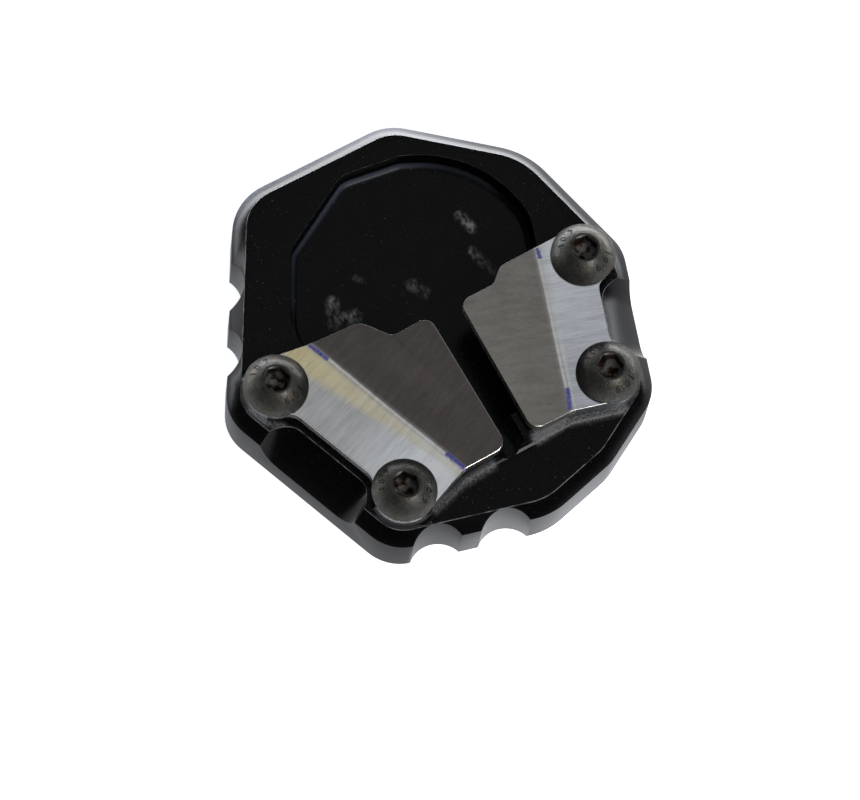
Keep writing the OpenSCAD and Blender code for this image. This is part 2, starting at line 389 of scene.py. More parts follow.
@dataclass(frozen=True)
class BlackAnodised(Finish):
    """Black anodised finish with dust, smudges and rubbed edges, and painted highlights on its
    edges, its fillets and the round of its pocket.
    """

    name: str = "black_anodised"
    colour: Colour = (0.0013, 0.0013, 0.0016)
    # Light grey of scuffs and rubbed edges, which also paints their highlight.
    wear_and_highlight: Colour = (0.2, 0.205, 0.215)
    dust: Colour = (0.23, 0.235, 0.24)
    # Lighter colour of the rounded edges: rubbed wear together with a painted edge highlight.
    rubbed_edge_sheen: Colour = (0.13, 0.134, 0.145)
    # Bluish colour of the painted light on the pocket's round.
    soft: Colour = (0.066, 0.077, 0.105)
    gloss: float = 0.15
    wall_dulling: float = 0.17
    index: float = 1.235
    relief: float = 0.014
    top_z: float = 13.6
    line_drop: float = 0.09
    line_half: float = 0.08
    pocket_half: float = 26.0
    pocket_near_y: float = -14.0
    pocket_lit_y: float = 35.0
    pocket_lit_x: float = 15.0
    pocket_foot_z: float = 11.4
    smudge_z: float = 14.4
    slot_middle: Point = (0.5, -14.0)
    slot_half: Point = (9.0, 20.0)
    cloud: Grain = Grain(9.0, 4.0)
    grit: Grain = Grain(0.42, 4.0)
    wear: Grain = Grain(2.2, 4.0)
    fine_dust: Grain = Grain(0.26, 1.0)
    coarse_dust: Grain = Grain(0.48, 1.0)
    dust_patch: Grain = Grain(5.0)
    scratch: Grain = Grain(0.28, 5.0, (1.0, 0.4, 1.0), -8.0)
    smear: Grain = Grain(1.0, 6.0, (1.0, 0.55, 1.0), 12.0)
    fine_smear: Grain = Grain(0.45, 4.0, (1.0, 0.5, 1.0), 12.0)
    # Strokes of scuffing and of painted highlight on the fillets.
    scuff_sheen_marks: Tuple[Mark, ...] = (
        Mark(((4.6, -31.6), (11.0, -31.0)), 1.8, 2.2),
        Mark(((11.0, -31.4), (24.5, -35.0)), 1.4, 0.9),
        Mark(((-22.6, -35.4), (-15.0, -33.3)), 1.4, 0.6),
        Mark(((-14.0, -33.1), (-7.0, -32.6)), 1.4, 0.9),
        Mark(((-46.6, 2.4), (-45.5, -0.4)), 1.2, 0.9),
        Mark(((-45.5, -0.4), (-41.6, -3.9)), 1.2, 0.9),
    )
    smudges: Tuple[Mark, ...] = (
        Mark(((-17.4, 17.4), (-19.8, 13.2)), 1.5, 1.0),
        Mark(((-19.8, 13.2), (-14.8, 12.4)), 1.7, 1.0),
        Mark(((-17.0, 12.0), (-16.0, 8.0)), 2.0, 0.6),
        Mark(((16.7, 21.9), (17.7, 18.2)), 1.2, 1.3),
        Mark(((14.8, 13.5), (15.9, 9.8)), 1.3, 1.0),
        Mark(((16.0, 10.0), (16.6, 7.6)), 1.2, 0.7),
        Mark(((-0.3, 12.8), (1.3, 10.0)), 1.5, 0.45),
        Mark(((-10.2, 20.0), (-9.6, 19.0)), 0.8, 0.4),
    )

    def make(self, rubbed: bool) -> bpy.types.Material:
        """Builds the material.

        Args:
            rubbed: Whether it is for the narrow edges, which are rubbed and painted brighter as an
                edge highlight.

        Returns:
            The material.
        """
        paint = Paint(self.name + ("_edge" if rubbed else ""))
        cloud = paint.noise(self.cloud)
        grain = paint.noise(self.grit)
        level = (0.6 + cloud * 0.8) * (grain.above(0.5, 0.5) * 1.7 + 0.25)
        # The narrow edges take a lighter colour, partly rubbed wear and partly a painted edge
        # highlight.
        colour = paint.tone(self.rubbed_edge_sheen if rubbed else self.colour, level)
        colour = paint.mix(self.dusted(paint), colour, self.dust)
        # Painted light on the round at the foot of the pocket's wall.
        fillet_light = self.painted_fillet_light(paint)
        colour = paint.mix(fillet_light * (0.75 + grain * 0.5), colour, self.soft)
        # Painted highlight on the fillets, partly real scuffs.
        shine = self.scuffed_sheen(paint)
        colour = paint.mix(shine.clamped(), colour, self.wear_and_highlight)
        # Painted edge highlight along the top edges, partly rubbed wear.
        colour = paint.mix(self.edged(paint), colour, self.wear_and_highlight)
        smudge = self.smudged(paint)
        colour = paint.mix(smudge, colour, self.dust)
        rough = self.gloss + cloud * 0.06 + grain * 0.06 + self.walls(paint) * self.wall_dulling
        paint.set_shader(
            Base_Color=colour,
            Metallic=0.0,
            Roughness=rough + shine * 0.2 + fillet_light * 0.25 + smudge * 0.35,
            IOR=self.index,
            Normal=paint.bump(grain + shine * 0.6, self.relief),
        )
        return paint.material

    def dusted(self, paint: Paint) -> Level:
        """Specks of dust on the faces that look up.

        Args:
            paint: The material's tree.

        Returns:
            A mask from 0 to 1.
        """
        patches = paint.noise(self.dust_patch).above(0.46, 0.3)
        fine = paint.noise(self.fine_dust).above(0.7, 0.07) * patches
        coarse = paint.noise(self.coarse_dust).above(0.755, 0.03)
        return (fine * 0.1).most(coarse * 0.3) * paint.up.above(0.75, 0.3)

    def walls(self, paint: Paint) -> Level:
        """Upright walls, apart from those in the slot.

        Args:
            paint: The material's tree.

        Returns:
            A mask from 0 to 1.
        """
        (x, y), (half_x, half_y) = self.slot_middle, self.slot_half
        slot = paint.x.near(x, half_x, 1.0) * paint.y.near(y, half_y, 2.0)
        return paint.up.near(0.0, 0.25, 0.3) * (1 - slot)

    def painted_fillet_light(self, paint: Paint) -> Level:
        """Painted soft light on the round at the foot of the pocket's wall, strongest at its far
        left.

        Args:
            paint: The material's tree.

        Returns:
            A mask from 0 to 1.
        """
        inside = paint.x.near(0.0, self.pocket_half, 2.0)
        inside = inside * paint.y.above(self.pocket_near_y, 6.0)
        far_left = paint.y.above(self.pocket_lit_y, 18.0) * paint.x.below(self.pocket_lit_x, 12.0)
        foot = paint.up.near(0.7, 0.19, 0.2) * paint.z.below(self.pocket_foot_z, 0.8)
        return foot * inside * (far_left * 0.8 + 0.25)

    def edged(self, paint: Paint) -> Level:
        """Thin line along the upper edge of the chamfers and the pocket, partly rubbed wear and
        partly a painted edge highlight.

        Args:
            paint: The material's tree.

        Returns:
            A mask from 0 to 1.
        """
        line = paint.z.near(self.top_z - self.line_drop, self.line_half, 0.06)
        patchy = paint.noise(self.wear).above(0.5, 0.25)
        return line * paint.up.below(0.88, 0.06) * (patchy * 0.8 + 0.2)

    def scuffed_sheen(self, paint: Paint) -> Level:
        """Scratched strips on the fillets in front of the plates, painted bright as a highlight as
        well as scuffed.

        Args:
            paint: The material's tree.

        Returns:
            The strength of the scratches and of their painted highlight.
        """
        spots = []
        for mark in self.scuff_sheen_marks:
            reach = (1.3 - paint.stroke(mark.ends) / mark.width).clamped()
            spots.append(reach * reach * mark.strength)
        raised = paint.z.above(self.top_z - 0.2, 0.2) * paint.up.above(0.2, 0.3)
        scratches = paint.noise(self.scratch).above(0.5, 0.3) * 0.9 + 0.15
        return paint.strongest(spots) * raised * scratches

    def smudged(self, paint: Paint) -> Level:
        """Pale smudges on the pocket floor and in the channel.

        Args:
            paint: The material's tree.

        Returns:
            A mask from 0 to 1.
        """
        broken = paint.noise(self.smear).above(0.5, 0.24)
        spots = []
        for mark in self.smudges:
            spread = (1.25 - paint.stroke(mark.ends) / mark.width).clamped()
            spots.append(spread * broken * mark.strength)
        cloudy = paint.noise(self.fine_smear).above(0.47, 0.25) * 0.75 + 0.35
        low = paint.z.below(self.smudge_z, 0.4) * paint.up.above(0.4, 0.4)
        return (paint.strongest(spots) * cloudy * low).clamped()


@dataclass(frozen=True)
class BrushedSheet(Finish):
    """Brushed sheet metal with a bend, with painted reflections that make it brighter and darker
    by region.

    The bend is a line across the plate, at a distance from the origin along the
    outward direction. Each fade is the middle and the length of a change that runs
    along the bend, towards the near screw.
    """

    name: str
    outward: Point
    bend: float
    # Painted reflection: the flange lighter or darker along its length, the tongue darker past the
    # bend.
    flange_far_reflection: Colour
    flange_near_reflection: Colour
    flange_reflection_fade: Point
    tongue_reflection: Colour
    # Colours, place and width of the painted reflection band beside the bend.
    glare_far: Colour
    glare_near: Colour
    glare_place: Point
    glare_half: float
    glare_fade: Point
    brush_turn: float
    ink: Tuple[Stroke, ...]
    ink_half: float = 0.46
    ink_colour: Colour = (0.035, 0.035, 0.42)
    # Near white, the painted highlight along the bend line.
    bend_highlight: Colour = (0.97, 0.95, 0.9)
    fleck: Colour = (0.2, 0.17, 0.14)
    edge: Colour = (0.6, 0.59, 0.57)
    polish: float = 0.18
    relief: float = 0.004
    blotch: Grain = Grain(7.0, 3.0)
    flecks: Grain = Grain(0.5)
    ink_skips: Grain = Grain(0.5, 3.0)

    def make(self, rubbed: bool) -> bpy.types.Material:
        """Builds the material.

        Args:
            rubbed: Whether it is for the narrow edges, which shine.

        Returns:
            The material.
        """
        paint = Paint(self.name + ("_edge" if rubbed else ""))
        ox, oy = self.outward
        past = paint.x * ox + paint.y * oy - self.bend
        nearer = (paint.x * oy - paint.y * ox) * math.copysign(1.0, ox)
        hairs = paint.noise(Grain(0.16, 3.0, (0.05, 1.0, 1.0), self.brush_turn))
        broad = paint.noise(Grain(1.2, 2.0, (0.12, 1.0, 1.0), self.brush_turn))
        blotch = paint.noise(self.blotch) - 0.5
        lines = (hairs * 0.6 + broad * 0.4 - 0.5) * 1.5
        # Painted reflection along the flange, then a darker painted reflection on the tongue.
        colour = paint.mix(nearer.above(*self.flange_reflection_fade), self.flange_far_reflection, self.flange_near_reflection)
        colour = paint.mix(past.below(0.0, 2.4), colour, self.tongue_reflection)
        drift = nearer.above(*self.glare_fade)
        # Painted reflection band beside the bend.
        band = self.painted_glare(past, drift)
        colour = paint.mix(band * 0.95, colour, paint.mix(drift, self.glare_far, self.glare_near))
        # Painted highlight along the bend line.
        thin = (past + blotch * 0.5).near(-0.1, 0.3, 0.25)
        colour = paint.mix(thin * 0.85, colour, self.bend_highlight)
        colour = paint.tone(colour, 1 + lines * 0.75 + blotch * 0.25)
        specks = paint.noise(self.flecks).above(0.7, 0.05)
        colour = paint.mix(specks * 0.25, colour, self.fleck)
        ink = self.inked(paint)
        colour = paint.mix(ink, colour, self.ink_colour)
        dull = past.below(0.0, 2.0) * 0.2 + band * 0.12 + ink * 0.25
        rough = self.polish + hairs * 0.12 + dull
        paint.set_shader(
            Base_Color=self.edge if rubbed else colour,
            Metallic=1.0 - ink * 0.9,
            Roughness=(hairs * 0.2 + self.polish) if rubbed else rough,
            Normal=paint.bump(lines + 0.5, self.relief),
        )
        return paint.material

    def painted_glare(self, past: Level, drift: Level) -> Level:
        """Painted reflection band beside the bend, which narrows towards the near screw.

        Args:
            past: Distance past the bend in millimetres.
            drift: Share of the way to the near screw.

        Returns:
            A mask from 0 to 1.
        """
        far, near = self.glare_place
        centre = past - (drift * (near - far) + far)
        return (centre / (1.9 - drift * 1.3)).near(0.0, self.glare_half, self.glare_half)

    def inked(self, paint: Paint) -> Level:
        """Marker strokes across the bend.

        Args:
            paint: The material's tree.

        Returns:
            A mask from 0 to 1.
        """
        broken = paint.noise(self.ink_skips)
        ragged = (broken - 0.5) * 0.9
        spots = [(paint.stroke(ends) + ragged).below(self.ink_half, 0.35) for ends in self.ink]
        return paint.strongest(spots) * (0.55 + broken * 0.6)


@dataclass(frozen=True)
class DarkOxide(Finish):
    """Dark oxide finish of the screws, with rust and painted shade in their sockets."""

    axes: Tuple[Point, ...]
    crown_z: float
    socket_r: float
    name: str = "dark_oxide"
    colour: Colour = (0.074, 0.074, 0.068)
    # Bare steel of rubbed edges, also the painted glint in the socket bottoms.
    bare_and_glint: Colour = (0.24, 0.235, 0.22)
    stain: Colour = (0.085, 0.066, 0.042)
    rust: Colour = (0.035, 0.016, 0.008)
    # Near black, painted as shade in the sockets and in the punched numerals.
    deep: Colour = (0.008, 0.007, 0.006)
    reflected: Colour = (0.08, 0.077, 0.072)
    dark_depth: float = 0.35
    bottom_depth: float = 2.6
    relief: float = 0.08
    sunk_relief: float = 0.02
    mottle: Grain = Grain(1.6, 5.0)
    pits: Grain = Grain(0.4, 3.0)
    stains: Grain = Grain(2.6)
    rust_patch: Grain = Grain(1.9, 3.0)
    recess_mottle: Grain = Grain(0.4, 3.0)

    def make(self, rubbed: bool) -> bpy.types.Material:
        """Builds the material.

        Args:
            rubbed: Whether it is for the narrow edges, which are rubbed bright.

        Returns:
            The material.
        """
        paint = Paint(self.name + ("_edge" if rubbed else ""))
        mottle = paint.noise(self.mottle)
        pits = paint.noise(self.pits)
        level = (0.55 + mottle * 0.9) * (0.6 + pits * 0.8)
        colour = paint.tone(self.bare_and_glint if rubbed else self.colour, level)
        warm = paint.noise(self.stains).above(0.56, 0.12) * 0.35
        colour = paint.mix(warm, colour, self.stain)
        inside = self.socketed(paint)
        # Painted shade inside the sockets.
        colour = paint.mix(inside, colour, self.deep)
        rusty = inside * paint.noise(self.rust_patch).above(0.5, 0.14)
        colour = paint.mix(rusty * 0.9, colour, self.rust)
        # Painted glint on the drilled bottom of the sockets, which is also made metallic.
        deepest = paint.z.below(self.crown_z - self.bottom_depth, 0.2)
        bottom = inside * deepest * mottle.above(0.5, 0.12)
        colour = paint.mix(bottom * 0.6, colour, self.bare_and_glint)
        paint.set_shader(
            Base_Color=colour,
            Metallic=(1 - inside) * 0.8 + bottom * 0.8,
            Roughness=0.34 + mottle * 0.14 + pits * 0.06,
            Coat_Weight=pits.above(0.45, 0.2) * (1 - inside) * 0.3,
            Coat_Roughness=0.24,
            IOR=1.4,
            Specular_Tint=self.reflected,
            Normal=paint.bump(pits * 1.5 + mottle * 0.7, self.relief),
        )
        return paint.material

    def socketed(self, paint: Paint) -> Level:
        """Inside of the hexagon sockets, where shade is painted.

        Args:
            paint: The material's tree.

        Returns:
            A mask from 0 to 1.
        """
        near = paint.radius(self.axes[0])
        for axis in self.axes[1:]:
            near = near.least(paint.radius(axis))
        mouth = paint.z.below(self.crown_z - self.dark_depth, 0.2)
        return near.below(self.socket_r, 0.15) * mouth

    def sunk(self) -> bpy.types.Material:
        """Builds the dark material inside the punched numerals, which paints shade in the cuts.

        Returns:
            The material.
        """
        paint = Paint(self.name + "_sunk")
        recess_mottle = paint.noise(self.recess_mottle)
        paint.set_shader(
            # Painted shade in the punched numerals, mottled.
            Base_Color=paint.tone(self.deep, 0.6 + recess_mottle * 0.8),
            Metallic=0.0,
            Roughness=0.5 + recess_mottle * 0.2,
            Normal=paint.bump(recess_mottle, self.sunk_relief),
        )
        return paint.material


@dataclass(frozen=True)
class PaleFloor:
    """Plain white floor, bright enough to light the walls from below."""

    name: str = "pale_floor"
    colour: Colour = (0.92, 0.92, 0.93)
    tint: Colour = (0.93, 0.95, 1.0)
    glow: float = 12.0
    share: float = 0.085
    far_share: float = 1.1
    far_line: float = 84.0
    pool_share: float = 0.13
    pool_place: Point = (8.0, -60.0)
    pool_radius: float = 24.0

    def make(self) -> bpy.types.Material:
        """Builds the material, which shines most beyond the far edge.

        Returns:
            The material.
        """
        paint = Paint(self.name)
        beyond = (paint.y + paint.x * 0.5).above(self.far_line, 24.0)
        pool = paint.radius(self.pool_place).below(self.pool_radius, 26.0)
        share = self.share + pool * self.pool_share + beyond * self.far_share
        paint.set_shader(
            Base_Color=self.colour,
            Roughness=0.9,
            Emission_Color=paint.tone(self.tint, share),
            Emission_Strength=self.glow,
        )
        return paint.material


def select_only(piece: bpy.types.Object) -> None:
    """Deselects everything but one object and makes it active.

    Args:
        piece: The object.
    """
    bpy.ops.object.select_all(action="DESELECT")
    piece.select_set(True)
    bpy.context.view_layer.objects.active = piece


def merge_faces(piece: bpy.types.Object, flat_within: float) -> None:
    """Joins the loose triangles of a mesh into flat faces.

    Args:
        piece: The object.
        flat_within: Largest angle between faces that are joined, in degrees.
    """
    select_only(piece)
    bpy.ops.object.mode_set(mode="EDIT")
    bpy.ops.mesh.select_all(action="SELECT")
    bpy.ops.mesh.remove_doubles(threshold=WELD * MM)
    bpy.ops.mesh.dissolve_limited(angle_limit=math.radians(flat_within))
    bpy.ops.object.mode_set(mode="OBJECT")


def round_edges(piece: bpy.types.Object, width: float, sharp: float) -> None:
    """Rounds the sharp edges of a mesh and smooths what is left.

    The roundings get the piece's second material.

    Args:
        piece: The object.
        width: Width of the rounding in millimetres.
        sharp: Smallest angle that is rounded, in degrees.
    """
    select_only(piece)
    bevel = piece.modifiers.new("rounding", "BEVEL")
    bevel.width = width * MM
    bevel.segments = 2
    bevel.limit_method = "ANGLE"
    bevel.angle_limit = math.radians(sharp)
    bevel.use_clamp_overlap = True
    bevel.material = 1
    bpy.ops.object.modifier_apply(modifier=bevel.name)
    bpy.ops.object.shade_smooth_by_angle(angle=math.radians(SMOOTH_WITHIN))


def heal(piece: bpy.types.Object, sliver: float) -> None:
    """Merges the slivers that cuts leave and smooths the mesh again.

    Args:
        piece: The object.
        sliver: Largest gap that is closed, in millimetres.
    """
    select_only(piece)
    bpy.ops.object.mode_set(mode="EDIT")
    bpy.ops.mesh.select_all(action="SELECT")
    bpy.ops.mesh.remove_doubles(threshold=sliver * MM)
    bpy.ops.mesh.dissolve_degenerate(threshold=sliver * MM)
    bpy.ops.mesh.select_all(action="SELECT")
    bpy.ops.mesh.normals_make_consistent(inside=False)
    bpy.ops.object.mode_set(mode="OBJECT")
    bpy.ops.object.shade_smooth_by_angle(angle=math.radians(SMOOTH_WITHIN))


def cut(piece: bpy.types.Object, tool: bpy.types.Object) -> None:
    """Cuts a tool out of a piece and removes the tool.

    Args:
        piece: The object that is cut.
        tool: A closed mesh where material is taken away.
    """
    select_only(piece)
    cutter = piece.modifiers.new("cut", "BOOLEAN")
    cutter.operation = "DIFFERENCE"
    cutter.solver = "EXACT"
    cutter.object = tool
    bpy.ops.object.modifier_apply(modifier=cutter.name)
    bpy.data.objects.remove(tool)


@dataclass
class DressedNode:
    """A CAD node shown by a copy with rounded edges and a finish of its own."""

    node: str
    name: str
    slot: str
    rounding: float
    sharp: float = 30.0
    flat_within: float = 0.4

    def build(self, finish: Finish) -> bpy.types.Object:
        """Copies the node, rounds it and dresses it.

        Args:
            finish: The finish, which makes a body and an edge material.

        Returns:
            The piece.
        """
        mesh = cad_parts[self.node].data.copy()
        mesh.materials.clear()
        mesh.materials.append(finish.make(False))
        mesh.materials.append(finish.make(True))
        piece = bpy.data.objects.new(self.name, mesh)
        bpy.context.scene.collection.objects.link(piece)
        merge_faces(piece, self.flat_within)
        round_edges(piece, self.rounding, self.sharp)
        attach(piece, "root")
        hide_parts(self.node)
        return piece


@dataclass
class Base:
    """The chamfered black base."""

    rounding: float = 0.16

    def build(self) -> bpy.types.Object:
        """Builds the base."""
        body = DressedNode("base", "base_body", "base_black", self.rounding)
        return body.build(BlackAnodised())


@dataclass
class ClampPlate:
    """One bent clamp plate."""

    side: Side
    rounding: float = 0.14

    def finish(self) -> BrushedSheet:
        """Finish of this plate, with its own brushing, bend and ink strokes.

        Returns:
            The finish.
        """
        if self.side is Side.LEFT:
            return BrushedSheet(
                name="brushed_left",
                outward=(-0.937, -0.349),
                bend=24.0,
                flange_far_reflection=(0.62, 0.62, 0.61),
                flange_near_reflection=(0.95, 0.96, 0.98),
                flange_reflection_fade=(8.0, 14.0),
                tongue_reflection=(0.165, 0.148, 0.137),
                glare_far=(1.0, 0.86, 0.5),
                glare_near=(0.98, 0.93, 0.82),
                glare_place=(3.2, 1.3),
                glare_half=1.4,
                glare_fade=(0.0, 35.0),
                brush_turn=-20.4,
                ink=(((-28.7, 8.2), (-27.0, 3.8)), ((-15.2, -27.0), (-13.6, -31.3))),
            )
        return BrushedSheet(
            name="brushed_right",
            outward=(0.947, -0.322),
            bend=22.2,
            flange_far_reflection=(0.84, 0.855, 0.89),
            flange_near_reflection=(0.64, 0.655, 0.69),
            flange_reflection_fade=(4.0, 20.0),
            tongue_reflection=(0.39, 0.365, 0.33),
            glare_far=(0.88, 0.88, 0.88),
            glare_near=(0.88, 0.88, 0.88),
            glare_place=(0.8, 0.8),
            glare_half=0.5,
            glare_fade=(4.0, 28.0),
            brush_turn=18.8,
            ink=(((25.0, 4.3), (24.6, 2.6)), ((14.6, -26.4), (13.0, -30.3))),
        )

    def build(self) -> bpy.types.Object:
        """Builds the plate.

        Returns:
            The piece.
        """
        side = self.side.value
        body = DressedNode(side + "_clamp_plate", side + "_plate", "plate_metal", self.rounding)
        return body.build(self.finish())


@dataclass
class ButtonScrews:
    """The four button head screws, modelled once and set in place with their own turn.

    The head is a hair narrower than the CAD one, so that its facets stay inside it.
    """

    axes: Tuple[Point, ...] = ((-39.6, 3.5), (-27.2, -29.8), (33.0, -1.4), (24.2, -27.3))
    turns: Tuple[float, ...] = (12.0, 38.0, 21.0, 4.0)
    head_d: float = 13.96
    head_h: float = 4.4
    crown_d: float = 6.6
    rim_h: float = 0.6
    seat_rise: float = 0.25
    seat_run: float = 0.2
    bulge: float = 0.4
    dome_steps: int = 9
    spin_steps: int = 72
    shank_d: float = 8.0
    shank_len: float = 11.9
    tip_chamfer: float = 0.8
    hex_width: float = 5.0
    hex_depth: float = 2.7
    socket_shade_rim: float = 0.063
    drill_rim: float = 0.35
    drill_depth: float = 0.6
    drill_taper: float = 0.25
    mouth_rim: float = 0.42
    mouth_depth: float = 0.24
    mouth_slope: float = 1.6
    overrun: float = 1.0
    rounding: float = 0.07
    sharp: float = 38.0
    sliver: float = 0.004
    mark: str = "10.9"
    mark_bearings: Tuple[float, ...] = (122.0, 103.0, 89.0, 75.0)
    mark_size: float = 2.3
    mark_bold: float = 0.05
    mark_depth: float = 0.2
    mark_reach: float = 0.3
    mark_ring: float = 5.0

    @property
    def seat_z(self) -> float:
        """Height of the head seats, one head below the top of the solids."""
        return CAD_BOX[1][2] / MM - self.head_h

    @property
    def hex_corner(self) -> float:
        """Distance from the axis to a corner of the hexagon."""
        return self.hex_width / 2 / math.cos(math.radians(30))

    def profile(self) -> List[Point]:
        """Half section of a screw as radius and height, from the crown to the tip.

        Returns:
            The points, with the head seat at height zero.
        """
        rim, crown = self.head_d / 2, self.crown_d / 2
        rise, run = self.head_h - self.rim_h, rim - crown
        chord = math.hypot(rise, run)
        points = [(0.0, self.head_h), (crown, self.head_h)]
        for step in range(1, self.dome_steps):
            share = step / self.dome_steps
            lift = self.bulge * 4 * share * (1 - share)
            radius = crown + run * share + lift * rise / chord
            height = self.head_h - rise * share + lift * run / chord
            points.append((min(radius, rim), min(height, self.head_h)))
        points += [(rim, self.rim_h), (rim, self.seat_rise), (rim - self.seat_run, 0.0)]
        half, tip = self.shank_d / 2, self.tip_chamfer
        points += [(half, 0.0), (half, tip - self.shank_len), (half - tip, -self.shank_len)]
        points.append((0.0, -self.shank_len))
        return points

    def dome_at(self, radius: float) -> Point:
        """Height and fall of the dome at a radius, read off the section.

        Args:
            radius: Distance from the screw's axis.

        Returns:
            The height, and the angle of the fall in radians.
        """
        points = self.profile()
        for (r0, h0), (r1, h1) in zip(points[1:], points[2:]):
            if r0 <= radius <= r1 and r1 > r0:
                share = (radius - r0) / (r1 - r0)
                return h0 + (h1 - h0) * share, math.atan2(h0 - h1, r1 - r0)
        return 0.0, 0.0

    def turned_blank(self) -> bpy.types.Object:
        """Draws the half section point by point and spins it into a closed screw.

        Returns:
            The screw, with no socket yet.
        """
        path = self.profile()
        bpy.ops.object.select_all(action="DESELECT")
        bpy.ops.mesh.primitive_plane_add(size=1 * MM, location=(0, 0, 0))
        screw = bpy.context.active_object
        bpy.ops.object.mode_set(mode="EDIT")
        bpy.ops.mesh.select_mode(type="VERT")
        bpy.ops.mesh.merge(type="CENTER")
        lift = (path[0][0] * MM, 0.0, path[0][1] * MM)
        bpy.ops.transform.translate(value=lift)
        for before, after in zip(path, path[1:]):
            move = ((after[0] - before[0]) * MM, 0.0, (after[1] - before[1]) * MM)
            bpy.ops.mesh.extrude_region_move(TRANSFORM_OT_translate={"value": move})
        bpy.ops.mesh.select_all(action="SELECT")
        bpy.ops.mesh.spin(
            steps=self.spin_steps, angle=math.tau, center=(0, 0, 0), axis=(0, 0, 1)
        )
        bpy.ops.mesh.select_all(action="SELECT")
        bpy.ops.mesh.remove_doubles(threshold=self.sliver * MM)
        bpy.ops.mesh.normals_make_consistent(inside=False)
        bpy.ops.object.mode_set(mode="OBJECT")
        return screw

    def hex_tool(self) -> bpy.types.Object:
        """Makes the tool of the hexagon socket, with a shallow drilled bottom.

        Returns:
            The tool.
        """
        floor = self.head_h - self.hex_depth
        height = self.hex_depth + self.overrun
        bpy.ops.object.select_all(action="DESELECT")
        bpy.ops.mesh.primitive_cylinder_add(
            vertices=6, radius=self.hex_corner * MM, depth=height * MM, location=(0, 0, 0)
        )
        tool = bpy.context.active_object
        tool.data.transform(Matrix.Translation((0, 0, (floor + height / 2) * MM)))
        bpy.ops.object.mode_set(mode="EDIT")
        bpy.ops.mesh.select_mode(type="FACE")
        bpy.ops.mesh.select_all(action="DESELECT")
        bpy.ops.object.mode_set(mode="OBJECT")
        for face in tool.data.polygons:
            face.select = face.normal.z < -0.9
        bpy.ops.object.mode_set(mode="EDIT")
        bpy.ops.mesh.inset(thickness=self.drill_rim * MM)
        drop = {"value": (0, 0, -self.drill_depth * MM)}
        bpy.ops.mesh.extrude_region_move(TRANSFORM_OT_translate=drop)
        tip = (0.0, 0.0, (floor - self.drill_depth) * MM)
        shrink = (self.drill_taper, self.drill_taper, 1.0)
        bpy.ops.transform.resize(value=shrink, center_override=tip)
        bpy.ops.object.mode_set(mode="OBJECT")
        return tool

    def mouth_tool(self) -> bpy.types.Object:
        """Makes the tool of the narrow countersink at the socket's mouth.

        Returns:
            The tool.
        """
        wide, deep = self.hex_width / 2 + self.mouth_rim, self.mouth_depth
        height = deep + self.overrun
        bpy.ops.object.select_all(action="DESELECT")
        bpy.ops.mesh.primitive_cone_add(
            vertices=self.spin_steps,
            radius1=(wide - deep * self.mouth_slope) * MM,
            radius2=(wide + self.overrun * self.mouth_slope) * MM,
            depth=height * MM,
            location=(0, 0, 0),
        )
        tool = bpy.context.active_object
        middle = self.head_h - deep + height / 2
        tool.data.transform(Matrix.Translation((0, 0, middle * MM)))
        return tool

    def mark_tool(
        self, digit: str, bearing: float, materials: Sequence[bpy.types.Material]
    ) -> bpy.types.Object:
        """Makes the tool of one punched numeral that stands on the dome.

        Args:
            digit: The numeral.
            bearing: Its place round the head in degrees.
            materials: The screw's materials, of which the last goes into the mark.

        Returns:
            The tool.
        """
        bpy.ops.object.select_all(action="DESELECT")
        bpy.ops.object.text_add(location=(0, 0, 0))
        text = bpy.context.active_object
        text.data.body = digit
        text.data.size = self.mark_size * MM
        text.data.align_x = "CENTER"
        text.data.align_y = "BOTTOM" if digit == "." else "CENTER"
        text.data.extrude = self.mark_reach * MM
        text.data.offset = self.mark_bold * MM
        text.data.resolution_u = 3
        bpy.ops.object.convert(target="MESH")
        tool = bpy.context.active_object
        bpy.ops.object.mode_set(mode="EDIT")
        bpy.ops.mesh.select_all(action="SELECT")
        bpy.ops.mesh.remove_doubles(threshold=WELD * MM)
        bpy.ops.mesh.normals_make_consistent(inside=False)
        bpy.ops.object.mode_set(mode="OBJECT")
        height, fall = self.dome_at(self.mark_ring)
        out = self.mark_reach - self.mark_depth
        place = Vector((0.0, self.mark_ring + out * math.sin(fall), height + out * math.cos(fall)))
        lean = Matrix.Rotation(-fall, 4, "X")
        spin = Matrix.Rotation(math.radians(bearing - 90.0), 4, "Z")
        tool.data.transform(spin @ Matrix.Translation(place * MM) @ lean)
        for material in materials:
            tool.data.materials.append(material)
        for face in tool.data.polygons:
            face.material_index = len(materials) - 1
        return tool

    def pattern(self) -> bpy.types.Object:
        """Models and dresses one screw at the origin.

        Returns:
            The screw, with its head seat at height zero.
        """
        screw = self.turned_blank()
        cut(screw, self.mouth_tool())
        cut(screw, self.hex_tool())
        heal(screw, self.sliver)
        crown_z = self.seat_z + self.head_h
        finish = DarkOxide(self.axes, crown_z, self.hex_corner + self.socket_shade_rim)
        screw.data.materials.clear()
        screw.data.materials.append(finish.make(False))
        screw.data.materials.append(finish.make(True))
        screw.data.materials.append(finish.sunk())
        round_edges(screw, self.rounding, self.sharp)
        for half_turn in (0.0, 180.0):
            for digit, bearing in zip(self.mark, self.mark_bearings):
                tool = self.mark_tool(digit, bearing + half_turn, list(screw.data.materials))
                cut(screw, tool)
        heal(screw, self.sliver)
        return screw

